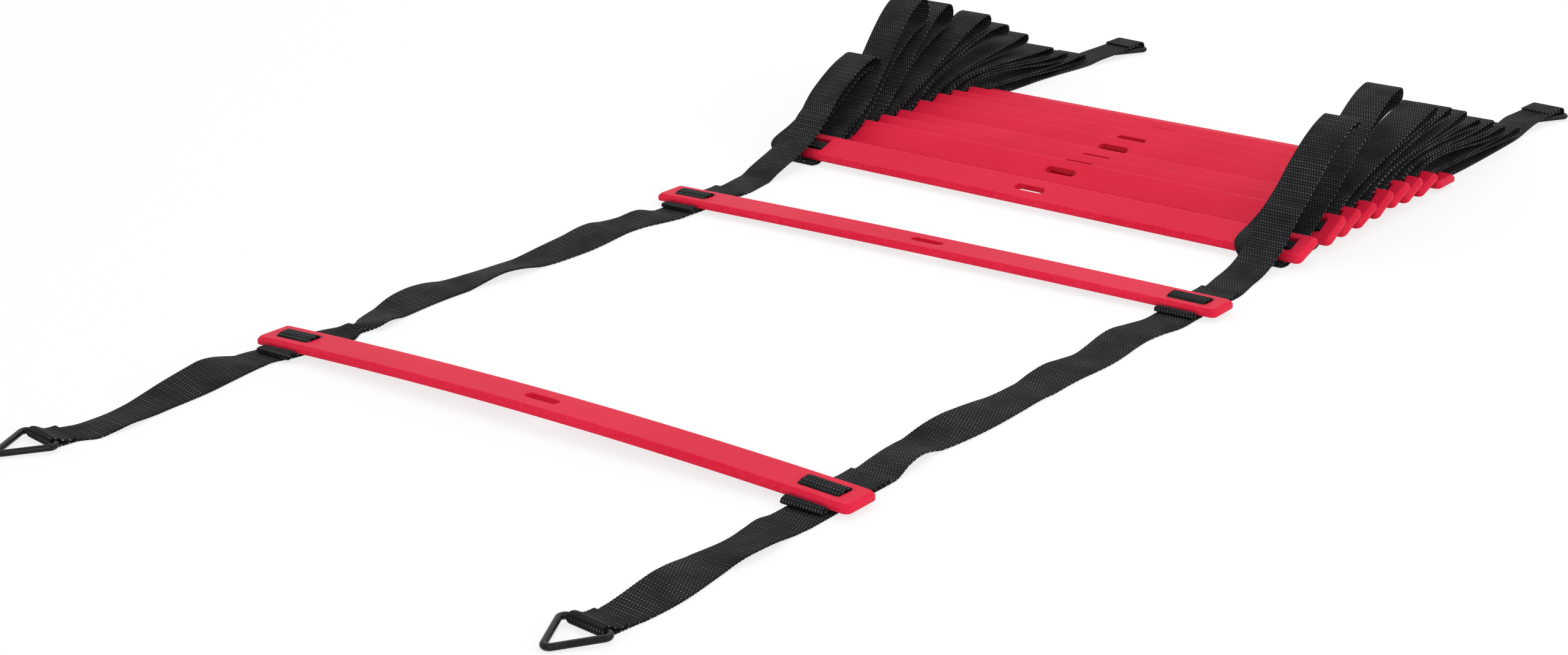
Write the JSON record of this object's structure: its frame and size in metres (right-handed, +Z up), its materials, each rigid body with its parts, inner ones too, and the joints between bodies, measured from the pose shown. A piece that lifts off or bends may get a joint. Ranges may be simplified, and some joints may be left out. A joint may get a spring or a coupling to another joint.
{
  "type": "agility ladder",
  "caption": "Flat agility ladder for footwork drills: slotted plastic rungs on two webbing side straps with wire end rings, laid out in part and folded into a stack.",
  "frame": {"origin": "middle of the whole ladder's footprint, on the floor", "axes": "+X across the ladder, along the rungs; +Y along the straps, from the loose end with two rungs towards the folded stack; +Z up from the floor"},
  "size_m": [0.5234, 1.336, 0.1041],
  "materials": {
    "red_plastic": "satin gloss moulded plastic",
    "black_webbing": "woven webbing with ribs across",
    "black_wire": "glossy black coated wire"
  },
  "bodies": {
    "stack": {"rung_03": "red_plastic", "rung_04": "red_plastic", "rung_05": "red_plastic", "rung_06": "red_plastic", "rung_07": "red_plastic", "rung_08": "red_plastic", "rung_09": "red_plastic", "rung_10": "red_plastic", "rung_11": "red_plastic", "keeper_03_left": "black_webbing", "keeper_03_right": "black_webbing", "keeper_04_left": "black_webbing", "keeper_04_right": "black_webbing", "keeper_05_left": "black_webbing", "keeper_05_right": "black_webbing", "keeper_06_left": "black_webbing", "keeper_06_right": "black_webbing", "keeper_07_left": "black_webbing", "keeper_07_right": "black_webbing", "keeper_08_left": "black_webbing", "keeper_08_right": "black_webbing", "keeper_09_left": "black_webbing", "keeper_09_right": "black_webbing", "keeper_10_left": "black_webbing", "keeper_10_right": "black_webbing", "keeper_11_left": "black_webbing", "keeper_11_right": "black_webbing", "stack_strap_left": "black_webbing", "stack_strap_right": "black_webbing"},
    "rung_2_section": {"rung_02": "red_plastic", "keeper_02_left": "black_webbing", "keeper_02_right": "black_webbing", "rung_2_strap_left": "black_webbing", "rung_2_strap_right": "black_webbing"},
    "bay_1_straps": {"bay_1_strap_left": "black_webbing", "bay_1_strap_right": "black_webbing"},
    "rung_1_section": {"rung_01": "red_plastic", "keeper_01_left": "black_webbing", "keeper_01_right": "black_webbing", "rung_1_strap_left": "black_webbing", "rung_1_strap_right": "black_webbing"},
    "front_tail_left": {"front_tail_strap_left": "black_webbing"},
    "front_ring_left": {"ring_front_left": "black_wire"},
    "rear_end_left": {"rear_end_strap_left": "black_webbing"},
    "rear_ring_left": {"ring_rear_left": "black_wire"},
    "front_tail_right": {"front_tail_strap_right": "black_webbing"},
    "front_ring_right": {"ring_front_right": "black_wire"},
    "rear_end_right": {"rear_end_strap_right": "black_webbing"},
    "rear_ring_right": {"ring_rear_right": "black_wire"}
  },
  "joints": [
    {"name": "rung_2_fold", "type": "hinge", "parent": "stack", "child": "rung_2_section", "pos_m": [0.00684, 0.0581, 0.0014], "axis": [-1, 0, 0], "range_deg": [0, 110]},
    {"name": "bay_1_fold", "type": "hinge", "parent": "rung_2_section", "child": "bay_1_straps", "pos_m": [0.00684, -0.0294, 0.0014], "axis": [1, 0, 0], "range_deg": [-90, 0]},
    {"name": "rung_1_fold", "type": "hinge", "parent": "bay_1_straps", "child": "rung_1_section", "pos_m": [0.00684, -0.36779, 0.0014], "axis": [-1, 0, 0], "range_deg": [0, 90]},
    {"name": "front_tail_left_fold", "type": "hinge", "parent": "rung_1_section", "child": "front_tail_left", "pos_m": [-0.22601, -0.4553, 0.0014], "axis": [1, 0, 0], "range_deg": [-90, 0]},
    {"name": "front_tail_right_fold", "type": "hinge", "parent": "rung_1_section", "child": "front_tail_right", "pos_m": [0.23129, -0.4553, 0.0014], "axis": [1, 0, 0], "range_deg": [-90, 0]},
    {"name": "front_ring_left_swing", "type": "hinge", "parent": "front_tail_left", "child": "front_ring_left", "pos_m": [-0.22037, -0.63179, 0.0037], "axis": [0.9877, -0.1564, 0], "range_deg": [-100, 100]},
    {"name": "front_ring_right_swing", "type": "hinge", "parent": "front_tail_right", "child": "front_ring_right", "pos_m": [0.23084, -0.63179, 0.0037], "axis": [0.9945, -0.1045, 0], "range_deg": [-100, 100]},
    {"name": "rear_end_left_fold", "type": "hinge", "parent": "stack", "child": "rear_end_left", "pos_m": [-0.19972, 0.61932, 0.00606], "axis": [0.9903, -0.1392, 0], "range_deg": [0, 120]},
    {"name": "rear_end_right_fold", "type": "hinge", "parent": "stack", "child": "rear_end_right", "pos_m": [0.22728, 0.61632, 0.00606], "axis": [0.9903, -0.1392, 0], "range_deg": [0, 120]},
    {"name": "rear_ring_left_swing", "type": "hinge", "parent": "rear_end_left", "child": "rear_ring_left", "pos_m": [-0.19367, 0.6624, 0.0037], "axis": [0.9903, -0.1392, 0], "range_deg": [0, 190]},
    {"name": "rear_ring_right_swing", "type": "hinge", "parent": "rear_end_right", "child": "rear_ring_right", "pos_m": [0.23333, 0.6594, 0.0037], "axis": [0.9903, -0.1392, 0], "range_deg": [0, 190]}
  ]
}
